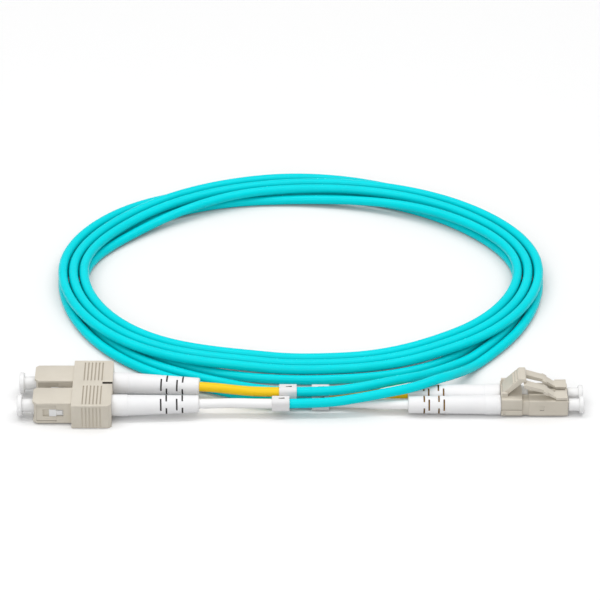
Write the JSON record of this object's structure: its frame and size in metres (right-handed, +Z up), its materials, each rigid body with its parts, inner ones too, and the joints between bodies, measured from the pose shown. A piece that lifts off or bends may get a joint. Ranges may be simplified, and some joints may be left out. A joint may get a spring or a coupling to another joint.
{
  "type": "fiber optic patch cord",
  "caption": "Duplex fiber optic patch cord, SC plugs at one end and LC plugs at the other, aqua cable laid in a coil.",
  "frame": {"origin": "on the table, midway between the two plug ends and on the plugs' centre line", "axes": "+X from the SC plugs to the LC plugs, +Y towards the coil, +Z up from the table"},
  "size_m": [0.1738, 0.1489, 0.0126],
  "materials": {
    "beige_plastic": "satin moulded",
    "white_plastic": "satin moulded",
    "white_rubber": "soft satin",
    "clear_plastic": "translucent",
    "white_tube": "satin",
    "yellow_tube": "satin",
    "marker_plastic": "satin",
    "aqua_jacket": "satin jacket",
    "ceramic": "polished ceramic",
    "spring_steel": "drawn wire",
    "crimp_metal": "pressed",
    "buffer": "fiber buffer"
  },
  "bodies": {
    "root": {"sc_a_frame": "white_plastic", "sc_a_spring": "spring_steel", "sc_a_back_post": "white_plastic", "sc_a_crimp": "crimp_metal", "sc_a_boot": "white_rubber", "sc_a_fiber": "buffer", "sc_a_sleeve": "white_tube", "sc_a_marker": "marker_plastic", "sc_a_leg": "aqua_jacket", "sc_b_frame": "white_plastic", "sc_b_spring": "spring_steel", "sc_b_back_post": "white_plastic", "sc_b_crimp": "crimp_metal", "sc_b_boot": "white_rubber", "sc_b_fiber": "buffer", "sc_b_sleeve": "yellow_tube", "sc_b_marker": "marker_plastic", "sc_b_leg": "aqua_jacket", "lc_a_housing": "beige_plastic", "lc_a_spring": "spring_steel", "lc_a_back_post": "white_plastic", "lc_a_crimp": "crimp_metal", "lc_a_boot": "white_rubber", "lc_a_fiber": "buffer", "lc_a_sleeve": "white_tube", "lc_a_marker": "marker_plastic", "lc_a_leg": "aqua_jacket", "lc_b_housing": "beige_plastic", "lc_b_spring": "spring_steel", "lc_b_back_post": "white_plastic", "lc_b_crimp": "crimp_metal", "lc_b_boot": "white_rubber", "lc_b_fiber": "buffer", "lc_b_sleeve": "yellow_tube", "lc_b_marker": "marker_plastic", "lc_b_leg": "aqua_jacket", "lc_clip": "beige_plastic", "coil_strand_a": "aqua_jacket", "coil_strand_b": "aqua_jacket"},
    "sc_grip": {"sc_a_housing": "beige_plastic", "sc_b_housing": "beige_plastic", "sc_clip": "beige_plastic"},
    "sc_a_ferrule": {"sc_a_ferrule": "ceramic"},
    "sc_a_cap": {"sc_a_cap": "clear_plastic"},
    "sc_b_ferrule": {"sc_b_ferrule": "ceramic"},
    "sc_b_cap": {"sc_b_cap": "clear_plastic"},
    "lc_a_ferrule": {"lc_a_ferrule": "ceramic"},
    "lc_a_cap": {"lc_a_cap": "clear_plastic"},
    "lc_b_ferrule": {"lc_b_ferrule": "ceramic"},
    "lc_b_cap": {"lc_b_cap": "clear_plastic"},
    "lc_trigger": {"lc_trigger": "beige_plastic"},
    "lc_a_latch": {"lc_a_latch": "beige_plastic"},
    "lc_b_latch": {"lc_b_latch": "beige_plastic"}
  },
  "joints": [
    {"name": "sc_a_ferrule_float", "type": "slide", "parent": "root", "child": "sc_a_ferrule", "axis": [1, 0, 0], "range_m": [0, 0.0008], "stiffness_N_per_m": 200, "deforming": ["sc_a_spring"]},
    {"name": "sc_a_cap_pull", "type": "slide", "parent": "root", "child": "sc_a_cap", "axis": [-1, 0, 0], "range_m": [0, 0.009]},
    {"name": "sc_b_ferrule_float", "type": "slide", "parent": "root", "child": "sc_b_ferrule", "axis": [1, 0, 0], "range_m": [0, 0.0008], "stiffness_N_per_m": 200, "deforming": ["sc_b_spring"]},
    {"name": "sc_b_cap_pull", "type": "slide", "parent": "root", "child": "sc_b_cap", "axis": [-1, 0, 0], "range_m": [0, 0.009]},
    {"name": "lc_a_ferrule_float", "type": "slide", "parent": "root", "child": "lc_a_ferrule", "axis": [-1, 0, 0], "range_m": [0, 0.0008], "stiffness_N_per_m": 200, "deforming": ["lc_a_spring"]},
    {"name": "lc_a_cap_pull", "type": "slide", "parent": "root", "child": "lc_a_cap", "axis": [1, 0, 0], "range_m": [0, 0.007]},
    {"name": "lc_b_ferrule_float", "type": "slide", "parent": "root", "child": "lc_b_ferrule", "axis": [-1, 0, 0], "range_m": [0, 0.0008], "stiffness_N_per_m": 200, "deforming": ["lc_b_spring"]},
    {"name": "lc_b_cap_pull", "type": "slide", "parent": "root", "child": "lc_b_cap", "axis": [1, 0, 0], "range_m": [0, 0.007]},
    {"name": "sc_grip_slide", "type": "slide", "parent": "root", "child": "sc_grip", "axis": [1, 0, 0], "range_m": [0, 0.0018]},
    {"name": "lc_trigger_press", "type": "hinge", "parent": "root", "child": "lc_trigger", "pos_m": [0.0625, -0.0013, 0.0073], "axis": [0, 1, 0], "range_deg": [0, 13], "stiffness_Nm_per_rad": 0.02},
    {"name": "lc_a_latch_press", "type": "hinge", "parent": "root", "child": "lc_a_latch", "pos_m": [0.0784, -0.00443, 0.0063], "axis": [0, -1, 0], "range_deg": [0, 10.5], "stiffness_Nm_per_rad": 0.01},
    {"name": "lc_b_latch_press", "type": "hinge", "parent": "root", "child": "lc_b_latch", "pos_m": [0.0784, 0.00183, 0.0063], "axis": [0, -1, 0], "range_deg": [0, 10.5], "stiffness_Nm_per_rad": 0.01}
  ],
  "couplings": [
    {"joint": "lc_a_latch_press", "follows": "lc_trigger_press", "ratio": 0.8},
    {"joint": "lc_b_latch_press", "follows": "lc_trigger_press", "ratio": 0.8}
  ]
}
